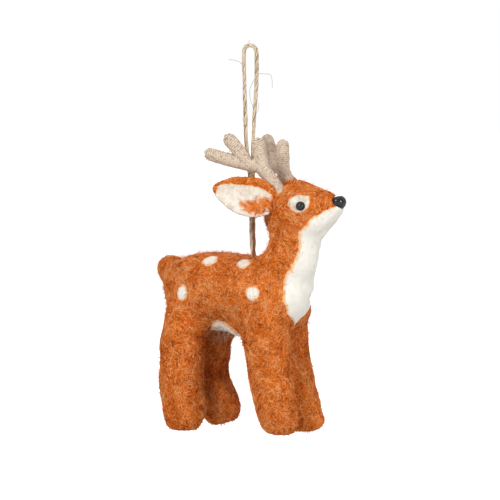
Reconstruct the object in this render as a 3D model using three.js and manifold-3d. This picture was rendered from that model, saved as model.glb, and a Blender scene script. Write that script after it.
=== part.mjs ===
// A needle-felted young deer that hangs from a loop of jute twine.
// Millimetres. +X is the way the deer faces, +Y its left side and +Z up.
// The origin is the inside of the loop's top, where a hook or a twig bears.
// The deer itself is laid out from the point where the twine leaves its back.

import * as THREE from 'three';
import { mergeVertices } from 'three/addons/utils/BufferGeometryUtils.js';
import Module from 'manifold-3d';

const wasm = await Module();
wasm.setup();

// Fits
const FELT_GAP = 0.3; // between pieces that are felted or pushed together
const PATCH_THICKNESS = 0.9; // a patch of white wool on the orange

// Trunk
const BODY_LENGTH = 68;
const BODY_WIDTH = 34;
const BODY_DEPTH = 30;
const CHEST_REACH = 26; // from the twine forward to the breast
const HAUNCH_RISE = 1.1; // how far the back stands up behind the twine
const TAIL_LENGTH = 15.8;
const TAIL_THICKNESS = 12;
const TAIL_SEAT = 12; // tail root ahead of the rump
const TAIL_DROP = 5.8; // tail below the twine's way into the back

// Neck and head
const NECK_WIDTH = 19.4;
const NECK_DEPTH = 23;
const NECK_LEAN = 8; // how far the neck comes forward on its way up
const HEAD_LENGTH = 35.8;
const HEAD_WIDTH = 23;
const HEAD_HEIGHT = 26.5;
const HEAD_RAISE = 20.2; // the head's middle above the twine's way into the back
const POLL_REACH = 7.5; // the back of the skull ahead of the twine
const NECK_SET_IN = 12.6; // the neck's top ahead of the back of the skull
const NOSE_RAISE = 4.4; // the end of the snout above the head's middle

// Legs
const STANDING_HEIGHT = 72.8; // soles below the twine's way into the back
const LEG_THICKNESS = 18;
const FORE_STANCE = 18.6; // from the middle of one foreleg to the other
const HIND_STANCE = 20.6;
const FORE_SET_BACK = { right: 14.2, left: 15.6 }; // foreleg behind the breast
const HIND_SET_IN = { right: 13.5, left: 13.8 }; // hind leg ahead of the rump
const FORE_STEPS = { right: 7.5, left: 11 }; // how far a forefoot stands ahead of its shoulder
const HIND_STEPS = { right: 0.5, left: 8.8 }; // the same for the hind feet
const LIFTED_SOLE = 1.8; // the left hind foot is this much shorter
const LIFTED_TILT = 16; // degrees that its sole turns up at the toe
const SOLE_ROUNDING = 1.3; // depth that the flat sole takes off the rounded foot

// Ears
const EAR_LENGTH = 27.5;
const EAR_WIDTH = 17;
const EAR_THICKNESS = 3;
const EAR_CUP = 3.6; // how far the edges curl forward
const LINING_THICKNESS = 2.2;
const LINING_MARGIN = 2.2; // orange edge that shows around the lining
const TUFT_LENGTH = 9;
const EAR_SEAT = 2.5; // ear inside the head
const EAR_AXIS = [-0.832, 0.517, 0.2]; // from the root of the left ear to its tip
const EAR_UP = [0.2, -0.12, 0.97]; // across the left ear towards its upper edge

// Antlers
const ANTLER_THICKNESS = 5.5;
const BEAM_LENGTH = 36;
const UPPER_TINE_LENGTH = 15;
const FRONT_TINE_LENGTH = 11.4;
const WIRE_DIAMETER = 1.2;
const WIRE_SEAT = 8; // wire that is pushed into the head
const WIRE_SHORTFALL = 3; // wool beyond the end of a wire
const BEAM_ROUTE = [[0, 0, 0], [-5.1, 3, 8.7], [-10, 5.5, 10.1], [-24.3, 14, 15.1]];
const UPPER_TINE_ROUTE = [[0, 0, 0], [-3.4, 2.4, 6.5], [-7.3, 4.5, 12.1]];
const FRONT_TINE_ROUTE = [[0, 0, 0], [-0.2, 0.8, 5.5], [-1, 2, 10.8]];

// Beads
const EYE_DIAMETER = 4;
const NOSE_WIDTH = 6;
const NOSE_HEIGHT = 5.5;
const NOSE_FLARE = 0.22; // how much wider the nose is at its top than in its middle
const EYE_PROUD = 0.6; // the middle of an eye outside the head
const NOSE_SEAT = 1.9; // the middle of the nose behind the end of the snout
const POST_DIAMETER = 1.2;
const POST_LENGTH = 6;

// White wool
const SPOT_DIAMETER = 5.8;
const EYE_PATCH_WIDTH = 9;
// The bib's left edge from the point between the forelegs up to the chin: sideways, up
const BIB_EDGE = [
  [0, -27.5],
  [7.4, -22.8],
  [9.8, -16.5],
  [8.6, -11.3],
  [7, -5],
  [6, 1],
  [5.6, 7],
  [7, 12],
  [6.4, 17],
  [4, 21],
];
const BELLY_PATCH_LENGTH = 22;
const BELLY_PATCH_WIDTH = 19;

// Places on a form: share of the way along it, and degrees up from its side
const ANTLER_PLACE = { along: 0.2, up: 48 };
const EAR_PLACE = { along: 0.19, up: 22 };
const EYE_PLACE = { along: 0.59, up: 16 };
const EYE_PATCH_PLACE = { along: 0.575, up: 19 };
const SPOT_PLACES = {
  haunch: { along: 0.245, up: -8 },
  rump: { along: 0.388, up: 52 },
  withers: { along: 0.618, up: 55 },
  shoulder: { along: 0.74, up: 6 },
};

// Twine
const TWINE_DIAMETER = 1.6;
const KNOT_SIZE = 1.9;
const KNOT_DEPTH = 10; // knot below the back
const PUCKER_WIDTH = 5.6;
const PUCKER_DEPTH = 1.3; // below and above the point that the twine leaves by
const SPLIT_HEIGHT = 46; // where the two strands part into the loop

// Right strand up from the back, over the hook and down the left strand.
const TWINE_ROUTE = [
  [0, -0.95, 0],
  [0, -0.95, 12],
  [0, -0.95, 24],
  [0, -0.95, 36],
  [0, -0.95, 46],
  [-0.9, -0.85, 52],
  [-1.8, -0.6, 58.5],
  [-2.5, -0.35, 65],
  [-3.1, -0.15, 72],
  [-3.8, 0, 79],
  [-4.4, 0, 84.2],
  [-4.2, 0, 87.6],
  [-3.2, 0, 89.7],
  [-1.2, 0, 90.5],
  [0.8, 0, 89.7],
  [1.9, 0, 87.4],
  [2, 0, 84],
  [1.7, 0, 79],
  [1.5, 0.15, 72],
  [1.4, 0.35, 65],
  [1.1, 0.6, 58.5],
  [0.6, 0.85, 52],
  [0, 0.95, 46],
  [0, 0.95, 36],
  [0, 0.95, 24],
  [0, 0.95, 12],
  [0, 0.95, 0],
];
const LOOP_TOP = [-1.2, 0, 90.5];

const ORANGE_WOOL = { color: 0xc9682c, roughness: 0.95, metalness: 0 };
const WHITE_WOOL = { color: 0xf0ede6, roughness: 0.95, metalness: 0 };
const ANTLER_WOOL = { color: 0xd8c8b8, roughness: 0.95, metalness: 0 };
const BLACK_BEAD = { color: 0x0b0a0a, roughness: 0.12, metalness: 0 };
const JUTE_TWINE = { color: 0xc8ac80, roughness: 0.9, metalness: 0 };
const CORE_WIRE = { color: 0x8f9296, roughness: 0.4, metalness: 0.9 };

const vector = ([x, y, z]) => new THREE.Vector3(x, y, z);
const mirrored = (points, side) => points.map(([x, y, z]) => [x, y * side, z]);

// Joins loops of points, with a point at each end, into one closed skin.
function loft(first, loops, last) {
  const sides = loops[0].length;
  const points = [first, ...loops.flat(), last];
  const end = points.length - 1;
  const at = (loop, i) => 1 + loop * sides + (i % sides);
  const faces = [];
  for (let i = 0; i < sides; i += 1) {
    faces.push(0, at(0, i + 1), at(0, i));
    for (let k = 0; k + 1 < loops.length; k += 1) {
      faces.push(at(k, i), at(k, i + 1), at(k + 1, i));
      faces.push(at(k, i + 1), at(k + 1, i + 1), at(k + 1, i));
    }
    faces.push(end, at(loops.length - 1, i), at(loops.length - 1, i + 1));
  }
  const skin = new THREE.BufferGeometry().setFromPoints(points);
  skin.setIndex(faces);
  return skin;
}

function solid(shape) {
  const bare = shape.clone();
  bare.deleteAttribute('normal');
  bare.deleteAttribute('uv');
  const skin = mergeVertices(bare, 1e-4);
  const vertProperties = new Float32Array(skin.attributes.position.array);
  const triVerts = new Uint32Array(skin.index.array);
  return new wasm.Manifold(new wasm.Mesh({ numProp: 3, vertProperties, triVerts }));
}

const joined = (bodies) => bodies.reduce((whole, body) => whole.add(body));
const cut = (body, cutters) => cutters.reduce((left, cutter) => left.subtract(cutter), body);

// A felted form: oval sections strung along a spine, with a dome at each end.
// wide and high are full sizes at even stations along the spine, across sets which way wide lies,
// and cup bends the ovals into crescents.
class Form {
  constructor({ spine, wide, high, across = [0, 1, 0], blunt = [2.2, 2.2], cup = 0, sides, rings }) {
    this.spine = new THREE.CatmullRomCurve3(spine.map(vector));
    this.oval = new THREE.CatmullRomCurve3(wide.map((w, i) => new THREE.Vector3(w / 2, high[i] / 2, 0)));
    Object.assign(this, { across: vector(across), blunt, cup, sides, rings });
  }

  skin(along, around, grow = 0) {
    const s = 1 - 2 * along;
    const power = s > 0 ? this.blunt[0] : this.blunt[1];
    const dome = Math.max(0, 1 - Math.abs(s) ** power) ** (1 / power);
    const tangent = this.spine.getTangent(along);
    const side = this.across.clone().addScaledVector(tangent, -this.across.dot(tangent)).normalize();
    const rise = new THREE.Vector3().crossVectors(tangent, side);
    const oval = this.oval.getPoint(along);
    const bend = this.cup * dome * Math.cos(around) ** 2;
    return this.spine.getPoint(along)
      .addScaledVector(side, (oval.x + grow) * dome * Math.cos(around))
      .addScaledVector(rise, (oval.y + grow) * dome * Math.sin(around) + bend)
      .addScaledVector(tangent, -s * grow);
  }

  outward(along, around) {
    return this.skin(along, around, 1).sub(this.skin(along, around)).normalize();
  }

  body(grow = 0) {
    const loops = [];
    for (let k = 1; k < this.rings; k += 1) {
      const along = (1 - Math.cos((Math.PI * k) / this.rings)) / 2;
      const turn = (i) => this.skin(along, (2 * Math.PI * i) / this.sides, grow);
      loops.push(Array.from({ length: this.sides }, (_, i) => turn(i)));
    }
    return solid(loft(this.skin(0, 0, grow), loops, this.skin(1, 0, grow)));
  }
}

// A round tube along a curve through the points.
function tube(points, diameter, steps) {
  const outline = new THREE.Shape().absarc(0, 0, diameter / 2, 0, 2 * Math.PI);
  const extrudePath = new THREE.CatmullRomCurve3(points);
  return solid(new THREE.ExtrudeGeometry(outline, { steps, extrudePath, curveSegments: 4 }));
}

// Turns a shape's +Y towards a direction and moves it to a place.
function aimed(shape, direction, place) {
  const turn = new THREE.Quaternion().setFromUnitVectors(new THREE.Vector3(0, 1, 0), direction);
  return shape.applyQuaternion(turn).translate(place.x, place.y, place.z);
}

const RIGHT = Math.PI; // the angle round a form where its right side lies
const degrees = (d) => THREE.MathUtils.degToRad(d);
const leftwards = (elevation, side) => (side > 0 ? degrees(elevation) : RIGHT - degrees(elevation));

// Trunk, neck and head
const rump = CHEST_REACH - BODY_LENGTH;
const station = (share) => rump + BODY_LENGTH * share;
const middle = (back, depth) => back - (depth * BODY_DEPTH) / 2;
const torso = new Form({
  spine: [
    [rump, 0, middle(1, 1)],
    [station(0.25), 0, middle(HAUNCH_RISE + 1.2, 1.05)],
    [station(0.5), 0, middle(0.9, 0.99)],
    [station(0.75), 0, middle(0.8, 1.1)],
    [CHEST_REACH, 0, middle(-1.5, 1.04)],
  ],
  wide: [0.86, 0.95, 0.97, 1.02, 0.94].map((w) => w * BODY_WIDTH),
  high: [1, 1.05, 0.99, 1.1, 1.04].map((h) => h * BODY_DEPTH),
  blunt: [3, 2.4],
  sides: 20,
  rings: 14,
});

const tail = new Form({
  spine: [
    [rump + TAIL_SEAT, 0, -TAIL_DROP * 1.4],
    [rump + TAIL_SEAT - TAIL_LENGTH / 2, 0, -TAIL_DROP * 1.15],
    [rump + TAIL_SEAT - TAIL_LENGTH, 0, -TAIL_DROP],
  ],
  wide: [1.15, 1.05, 0.9].map((w) => w * TAIL_THICKNESS),
  high: [1.15, 1.05, 0.95].map((h) => h * TAIL_THICKNESS),
  sides: 12,
  rings: 8,
});

const neckTop = POLL_REACH + NECK_SET_IN;
const neck = new Form({
  spine: [
    [neckTop - NECK_LEAN, 0, -BODY_DEPTH * 0.55],
    [neckTop - NECK_LEAN * 0.72, 0, -BODY_DEPTH * 0.15],
    [neckTop - NECK_LEAN * 0.22, 0, HEAD_RAISE * 0.26],
    [neckTop, 0, HEAD_RAISE],
  ],
  wide: [1.36, 1.18, 1.02, 0.98].map((w) => w * NECK_WIDTH),
  high: [1.2, 1.06, 1, 1].map((h) => h * NECK_DEPTH),
  blunt: [2.2, 3],
  sides: 16,
  rings: 10,
});

const noseEnd = POLL_REACH + HEAD_LENGTH;
const head = new Form({
  spine: [
    [POLL_REACH, 0, HEAD_RAISE + 0.8],
    [POLL_REACH + HEAD_LENGTH * 0.25, 0, HEAD_RAISE],
    [POLL_REACH + HEAD_LENGTH * 0.5, 0, HEAD_RAISE - 0.5],
    [POLL_REACH + HEAD_LENGTH * 0.75, 0, HEAD_RAISE + NOSE_RAISE * 0.28],
    [noseEnd, 0, HEAD_RAISE + NOSE_RAISE],
  ],
  wide: [1.04, 1.04, 0.91, 0.62, 0.4].map((w) => w * HEAD_WIDTH),
  high: [1.08, 1.03, 0.95, 0.68, 0.36].map((h) => h * HEAD_HEIGHT),
  blunt: [2.2, 2.4],
  sides: 18,
  rings: 13,
});

// Legs, each from inside the trunk down past its flat sole
const shoulderX = { right: CHEST_REACH - FORE_SET_BACK.right, left: CHEST_REACH - FORE_SET_BACK.left };
const hipX = { right: rump + HIND_SET_IN.right, left: rump + HIND_SET_IN.left };
const hidden = -BODY_DEPTH * 0.3; // depth of the legs' upper ends inside the trunk
const footEnd = -STANDING_HEIGHT - SOLE_ROUNDING;
const legSizes = [1.02, 1.04, 0.97, 1].map((t) => t * LEG_THICKNESS);

function legForm(spine) {
  return new Form({ spine, wide: legSizes, high: legSizes, blunt: [2.6, 4], sides: 14, rings: 12 });
}

function foreleg(word, side) {
  const half = (FORE_STANCE / 2) * side;
  const shoulder = shoulderX[word];
  const step = FORE_STEPS[word];
  return legForm([
    [shoulder - step * 0.2, half * 0.86, hidden],
    [shoulder, half, -STANDING_HEIGHT * 0.42],
    [shoulder + step * 0.3, half, -STANDING_HEIGHT * 0.69],
    [shoulder + step, half, footEnd],
  ]);
}

function hindLeg(word, side, lift) {
  const half = (HIND_STANCE / 2) * side;
  const hip = hipX[word];
  return legForm([
    [hip + LEG_THICKNESS * 0.14, half * 0.72, hidden],
    [hip, half * 0.96, -STANDING_HEIGHT * 0.45],
    [hip + HIND_STEPS[word] * 0.2, half, -STANDING_HEIGHT * 0.69],
    [hip + HIND_STEPS[word], half, footEnd + lift],
  ]);
}

const legs = {
  foreleg_right: foreleg('right', -1),
  foreleg_left: foreleg('left', 1),
  hind_leg_right: hindLeg('right', -1, 0),
  hind_leg_left: hindLeg('left', 1, LIFTED_SOLE),
};

// A block under a foot, whose top is the plane of the sole.
function under(form, lift, tilt) {
  const size = 3 * LEG_THICKNESS;
  const foot = form.spine.getPoint(1);
  const block = new THREE.BoxGeometry(size, size, size);
  block.translate(0, 0, -size / 2).rotateY(degrees(-tilt));
  return solid(block.translate(foot.x, foot.y, lift - STANDING_HEIGHT));
}

// Ears: a cupped orange leaf, its white lining and a tuft of orange at the root

function earForms(side) {
  const axis = vector(mirrored([EAR_AXIS], side)[0]).normalize();
  const up = vector(mirrored([EAR_UP], side)[0]).multiplyScalar(side);
  const face = new THREE.Vector3().crossVectors(axis, up).normalize();
  const root = head.skin(EAR_PLACE.along, leftwards(EAR_PLACE.up, side)).addScaledVector(axis, -EAR_SEAT);
  const leaf = (length, width, thickness, forward, cup, blunt) => new Form({
    spine: [0, 0.33, 0.67, 1].map((t) => root.clone()
      .addScaledVector(axis, length * t)
      .addScaledVector(face, forward - EAR_CUP * 0.33 * Math.sin(Math.PI * t)).toArray()),
    wide: [0.86, 1, 0.92, 0.62].map((w) => w * width),
    high: [1, 1, 1, 0.8].map((h) => h * thickness),
    across: up.toArray(),
    cup,
    blunt,
    sides: 12,
    rings: 9,
  });
  const liningWidth = EAR_WIDTH - 2 * LINING_MARGIN;
  const liningCup = EAR_CUP * (liningWidth / EAR_WIDTH) ** 2;
  const inFront = EAR_THICKNESS * 0.5;
  return {
    leaf: leaf(EAR_LENGTH, EAR_WIDTH, EAR_THICKNESS, 0, EAR_CUP, [2.6, 2]),
    lining: leaf(EAR_LENGTH - LINING_MARGIN, liningWidth, LINING_THICKNESS, inFront, liningCup, [3, 2]),
    tuft: leaf(TUFT_LENGTH, liningWidth * 0.6, LINING_THICKNESS, inFront + LINING_THICKNESS / 2, 0, [3, 2]),
  };
}

// Antlers: wool wound on wire, a beam that sweeps back and two tines
function antlerForms(side) {
  const { along, up } = ANTLER_PLACE;
  const root = head.skin(along, leftwards(up, side));
  const placed = (points, length, from) => {
    const curve = new THREE.CatmullRomCurve3(mirrored(points, side).map(vector));
    const scale = length / curve.getLength();
    return curve.points.map((p) => p.multiplyScalar(scale).add(from));
  };
  const beam = placed(BEAM_ROUTE, BEAM_LENGTH, root);
  const upper = placed(UPPER_TINE_ROUTE, UPPER_TINE_LENGTH, beam[2]);
  const front = placed(FRONT_TINE_ROUTE, FRONT_TINE_LENGTH, beam[1]);
  const inside = root.clone().addScaledVector(head.outward(along, leftwards(up, side)), -WIRE_SEAT);
  const wool = (points, rings, tip) => {
    const spine = points.map((p) => p.toArray());
    const sizes = spine.map(() => ANTLER_THICKNESS);
    const across = [1, 0.2, 0];
    return new Form({ spine, wide: sizes, high: sizes, across, blunt: [5, tip], sides: 10, rings });
  };
  const shortened = (points) => {
    const ends = points.slice(-2);
    const tip = ends[1].clone().sub(ends[0]).setLength(WIRE_SHORTFALL);
    return [...points.slice(0, -1), ends[1].clone().sub(tip)];
  };
  const lengthened = (points) => [points[0].clone().lerp(points[1], -0.3), ...points.slice(1)];
  return {
    wools: { beam: wool(lengthened(beam), 12, 6), upper: wool(upper, 8, 4), front: wool(front, 8, 4) },
    wires: { beam: [inside, ...shortened(beam)], upper: shortened(upper), front: shortened(front) },
  };
}

// A bead on a post. The bead's middle is at the place, and the post points back into the head.
function bead(diameter, grow) {
  const ball = new THREE.EllipseCurve(0, 0, diameter / 2 + grow, diameter / 2 + grow, -1.2, Math.PI / 2);
  const post = POST_DIAMETER / 2 + grow;
  const end = -POST_LENGTH - grow;
  const arc = ball.getPoints(6).slice(0, -1);
  const profile = [[0, end], [post, end], [post, arc[0].y], ...arc.map((p) => [p.x, p.y])];
  profile.push([0, diameter / 2 + grow]);
  return new THREE.LatheGeometry(profile.map(([x, y]) => new THREE.Vector2(x, y)), 10);
}

function eye(side, grow = 0) {
  const around = leftwards(EYE_PLACE.up, side);
  const direction = head.outward(EYE_PLACE.along, around);
  return solid(aimed(bead(EYE_DIAMETER, grow), direction, head.skin(EYE_PLACE.along, around, EYE_PROUD)));
}

// The nose bead is wider at the top, like a rounded triangle.
function nose(grow = 0) {
  const shape = bead(NOSE_HEIGHT, grow);
  shape.rotateZ(-Math.PI / 2).rotateX(Math.PI);
  const place = shape.attributes.position;
  for (let i = 0; i < place.count; i += 1) {
    const flare = 1 + (NOSE_FLARE * place.getZ(i)) / (NOSE_HEIGHT / 2);
    const wide = place.getX(i) > -NOSE_HEIGHT / 2 ? (NOSE_WIDTH / NOSE_HEIGHT) * flare : 1;
    place.setY(i, place.getY(i) * wide);
  }
  return solid(shape.translate(noseEnd - NOSE_SEAT, 0, HEAD_RAISE + NOSE_RAISE));
}

// A layer of wool over some forms, inside a region.
function felted(region, hosts) {
  const outer = joined(hosts.map((form) => form.body(FELT_GAP + PATCH_THICKNESS)));
  const inner = joined(hosts.map((form) => form.body(FELT_GAP)));
  return region.intersect(outer).subtract(inner);
}

function discRegion(form, { along, up }, side, diameter) {
  const around = leftwards(up, side);
  const disc = new THREE.CylinderGeometry(diameter / 2, diameter / 2, 3 * PATCH_THICKNESS, 12);
  return solid(aimed(disc, form.outward(along, around), form.skin(along, around, PATCH_THICKNESS)));
}

// From the chin down the throat to a point between the forelegs, cut out as seen from the front
function bibRegion() {
  const left = new THREE.SplineCurve(BIB_EDGE.map(([y, z]) => new THREE.Vector2(y, z))).getPoints(20);
  const right = left.slice(1).reverse().map((p) => new THREE.Vector2(-p.x, p.y));
  const start = shoulderX.right + FORE_STEPS.right;
  const depth = noseEnd - NOSE_HEIGHT / 2 - start;
  const outline = new THREE.Shape([...left, ...right]);
  const block = new THREE.ExtrudeGeometry(outline, { depth, bevelEnabled: false });
  block.rotateX(Math.PI / 2).rotateZ(Math.PI / 2);
  return solid(block.translate(start, 0, 0));
}

function bellyRegion() {
  const plug = new THREE.CylinderGeometry(0.5, 0.5, BODY_DEPTH / 2, 16);
  plug.scale(BELLY_PATCH_LENGTH, 1, BELLY_PATCH_WIDTH).rotateX(Math.PI / 2);
  return solid(plug.translate((hipX.left + shoulderX.right) / 2, 0, -BODY_DEPTH));
}

// Twine: the route's stretches, and what holds them in the back
const route = new THREE.CatmullRomCurve3(TWINE_ROUTE.map(vector));

function stretch(from, to, steps) {
  const points = [];
  for (let k = 0; k <= steps; k += 1) points.push(route.getPointAt(from + ((to - from) * k) / steps));
  return tube(points, TWINE_DIAMETER, steps);
}

function shareAtHeight(height) {
  let [low, high] = [0, 0.5];
  for (let k = 0; k < 30; k += 1) {
    const half = (low + high) / 2;
    if (route.getPointAt(half).z < height) low = half;
    else high = half;
  }
  return low;
}

const strandOffset = Math.abs(TWINE_ROUTE[0][1]);
function buried(side, grow) {
  const top = -TWINE_DIAMETER / 2 - FELT_GAP;
  const ends = [top, -KNOT_DEPTH].map((z) => new THREE.Vector3(0, strandOffset * side, z));
  return tube(ends, TWINE_DIAMETER + 2 * grow, 1);
}

function anchorKnot() {
  const knot = new THREE.TorusKnotGeometry(KNOT_SIZE, TWINE_DIAMETER * 0.46, 27, 5, 2, 3);
  knot.translate(0, 0, -KNOT_DEPTH);
  return joined([solid(knot), buried(1, 0), buried(-1, 0)]);
}

function twineWay() {
  const pocket = new THREE.SphereGeometry(KNOT_SIZE * 1.5 + TWINE_DIAMETER / 2 + FELT_GAP, 10, 7);
  const throat = strandOffset + TWINE_DIAMETER / 2 + FELT_GAP;
  const pucker = new THREE.CylinderGeometry(PUCKER_WIDTH / 2, throat, 2 * PUCKER_DEPTH, 12);
  pucker.rotateX(Math.PI / 2);
  return [
    solid(pocket.translate(0, 0, -KNOT_DEPTH)),
    solid(pucker),
    buried(1, FELT_GAP),
    buried(-1, FELT_GAP),
  ];
}

// Assembly
const deer = new THREE.Group();
deer.position.set(-LOOP_TOP[0], 0, TWINE_DIAMETER / 2 - LOOP_TOP[2]);

function place(name, body, finish) {
  const { vertProperties, triVerts } = body.getMesh();
  const shape = new THREE.BufferGeometry();
  shape.setAttribute('position', new THREE.BufferAttribute(new Float32Array(vertProperties), 3));
  shape.setIndex(new THREE.BufferAttribute(new Uint32Array(triVerts), 1));
  shape.computeVertexNormals();
  const mesh = new THREE.Mesh(shape, new THREE.MeshStandardMaterial(finish));
  mesh.name = name;
  deer.add(mesh);
}

const SIDES = { right: -1, left: 1 };
const legCuts = Object.values(legs).map((form) => form.body(FELT_GAP));
const torsoCut = torso.body(FELT_GAP);
const neckCut = neck.body(FELT_GAP);
const headCut = head.body(FELT_GAP);
const parting = solid(new THREE.BoxGeometry(2 * BODY_LENGTH, FELT_GAP, 4 * STANDING_HEIGHT));

place('torso', cut(torso.body(), twineWay()), ORANGE_WOOL);
place('neck', cut(neck.body(), [torsoCut, headCut]), ORANGE_WOOL);
place('tail', cut(tail.body(), [torsoCut]), ORANGE_WOOL);
for (const [name, form] of Object.entries(legs)) {
  const lifted = name === 'hind_leg_left';
  const sole = under(form, lifted ? LIFTED_SOLE : 0, lifted ? LIFTED_TILT : 0);
  place(name, cut(form.body(), [torsoCut, neckCut, parting, sole]), ORANGE_WOOL);
}

const headCuts = [nose(FELT_GAP)];
for (const [word, side] of Object.entries(SIDES)) {
  const { wools, wires } = antlerForms(side);
  const wire = (points, grow) => tube(points, WIRE_DIAMETER + 2 * grow, 2 * points.length);
  const bores = Object.values(wires).map((points) => wire(points, FELT_GAP));
  const beamCut = wools.beam.body(FELT_GAP);
  const upperCut = wools.upper.body(FELT_GAP);
  const beamWireCut = wire(wires.beam, FELT_GAP);
  headCuts.push(beamWireCut);
  place(`antler_beam_${word}`, cut(wools.beam.body(), [headCut, ...bores]), ANTLER_WOOL);
  place(`antler_upper_tine_${word}`, cut(wools.upper.body(), [beamCut, bores[1]]), ANTLER_WOOL);
  place(`antler_front_tine_${word}`, cut(wools.front.body(), [beamCut, upperCut, bores[2]]), ANTLER_WOOL);
  place(`antler_beam_wire_${word}`, wire(wires.beam, 0), CORE_WIRE);
  place(`antler_upper_wire_${word}`, cut(wire(wires.upper, 0), [beamWireCut]), CORE_WIRE);
  place(`antler_front_wire_${word}`, cut(wire(wires.front, 0), [beamWireCut]), CORE_WIRE);

  const ear = earForms(side);
  const leafCut = ear.leaf.body(FELT_GAP);
  const liningCut = ear.lining.body(FELT_GAP);
  place(`ear_${word}`, cut(ear.leaf.body(), [headCut, beamCut]), ORANGE_WOOL);
  place(`ear_lining_${word}`, cut(ear.lining.body(), [headCut, leafCut, beamCut]), WHITE_WOOL);
  place(`ear_tuft_${word}`, cut(ear.tuft.body(), [headCut, leafCut, liningCut, beamCut]), ORANGE_WOOL);

  headCuts.push(eye(side, FELT_GAP));
  place(`eye_${word}`, eye(side), BLACK_BEAD);
  const patch = discRegion(head, EYE_PATCH_PLACE, side, EYE_PATCH_WIDTH);
  place(`eye_patch_${word}`, cut(felted(patch, [head]), [eye(side, FELT_GAP)]), WHITE_WOOL);

  for (const [where, spot] of Object.entries(SPOT_PLACES)) {
    const region = discRegion(torso, spot, side, SPOT_DIAMETER);
    place(`spot_${where}_${word}`, felted(region, [torso, ...Object.values(legs)]), WHITE_WOOL);
  }
}

place('head', cut(head.body(), headCuts), ORANGE_WOOL);
place('nose', nose(), BLACK_BEAD);
place('throat_bib', cut(felted(bibRegion(), [torso, neck, head]), [...legCuts, nose(FELT_GAP)]), WHITE_WOOL);
place('belly_patch', cut(felted(bellyRegion(), [torso]), legCuts), WHITE_WOOL);

const split = shareAtHeight(SPLIT_HEIGHT);
const halfGap = FELT_GAP / 2 / route.getLength();
place('twine_strand_right', stretch(0, split - halfGap, 12), JUTE_TWINE);
place('hanging_loop', stretch(split + halfGap, 1 - split - halfGap, 30), JUTE_TWINE);
place('twine_strand_left', stretch(1 - split + halfGap, 1, 12), JUTE_TWINE);
place('anchor_knot', anchorKnot(), JUTE_TWINE);

export default deer;
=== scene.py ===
"""A felted deer that hangs from a loop of twine: its wool, wound antlers, beads and twine."""

from math import acos, cos, hypot, pi, radians, sin, sqrt
from typing import NamedTuple

import bmesh
import bpy
import numpy as np
from bpy.props import FloatProperty, FloatVectorProperty, IntProperty, PointerProperty
from mathutils import Matrix, Vector, noise


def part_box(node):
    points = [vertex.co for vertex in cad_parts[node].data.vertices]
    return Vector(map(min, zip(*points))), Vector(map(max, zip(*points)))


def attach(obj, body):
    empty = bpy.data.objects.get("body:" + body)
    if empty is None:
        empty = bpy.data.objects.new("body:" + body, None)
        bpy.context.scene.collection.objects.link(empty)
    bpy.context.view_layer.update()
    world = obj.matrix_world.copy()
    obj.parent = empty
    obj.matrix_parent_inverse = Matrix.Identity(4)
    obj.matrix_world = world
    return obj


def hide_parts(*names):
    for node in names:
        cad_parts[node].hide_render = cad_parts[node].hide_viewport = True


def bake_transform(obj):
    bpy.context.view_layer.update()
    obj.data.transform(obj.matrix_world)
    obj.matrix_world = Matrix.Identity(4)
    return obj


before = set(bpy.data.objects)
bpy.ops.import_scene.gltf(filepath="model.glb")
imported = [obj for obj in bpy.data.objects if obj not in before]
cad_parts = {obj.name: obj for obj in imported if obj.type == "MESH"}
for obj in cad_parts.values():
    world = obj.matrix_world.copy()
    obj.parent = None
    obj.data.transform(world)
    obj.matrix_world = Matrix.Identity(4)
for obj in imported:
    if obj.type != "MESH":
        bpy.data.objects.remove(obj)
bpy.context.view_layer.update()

bl_info = {
    "name": "Felted deer ornament",
    "version": (1, 0, 0),
    "blender": (4, 5, 0),
    "location": "View3D > Sidebar > Felted deer",
    "description": "Dresses a hanging felted deer in wool, yarn, beads and twine",
    "category": "Object",
}

MM = 0.001
TURN = 2 * pi
SIDES = {"right": -1, "left": 1}
BODY = "deer"


def mm(x, y, z):
    """A place or a push given in millimetres."""
    return Vector((x, y, z)) * MM


def sided(values, side):
    """A place or a direction, mirrored where side is -1."""
    x, y, z = values
    return Vector((x, y * side, z))


# Where the twine leaves the back.
BACK = mm(1.2, 0, -89.7)

BODY_NODES = (
    "torso", "neck", "tail", "head", "foreleg_right", "foreleg_left", "hind_leg_right", "hind_leg_left",
)

# Half the width and half the height of each fawn spot and eye ring, and its shift, in millimetres.
SPOTS = {
    "haunch": (2.7, 3.5, (0.6, 0, 0.8)),
    "rump": (3.5, 2.9, (0.3, 0, 0.2)),
    "withers": (3.0, 3.1, (-0.5, 0, 0)),
    "shoulder": (3.0, 3.1, (0.3, 0, 0.2)),
}
EYE_RING = (4.7, 3.9, (-0.2, 0, 0.4))

# Places in millimetres from the origin and directions, of the left eye, the nose and the left ear.
EYE_PLACE = (29.37, 9.46, -66.85)
EYE_OUTWARD = (0.129, 0.946, 0.298)
NOSE_PLACE = (42.4, 0, -65.5)
EAR_ROOT = (17.95, 7.86, -65.59)
EAR_ALONG = (-0.832, 0.517, 0.2)
EAR_UPWARD = (0.2, -0.12, 0.97)

# Ovals of orange wool in a lining: place along and up the ear, half length and half height, in millimetres.
TUFT_OVALS = ((10.2, -4.1, 5.6, 2.9), (5, -2, 4.6, 3.0))

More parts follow.
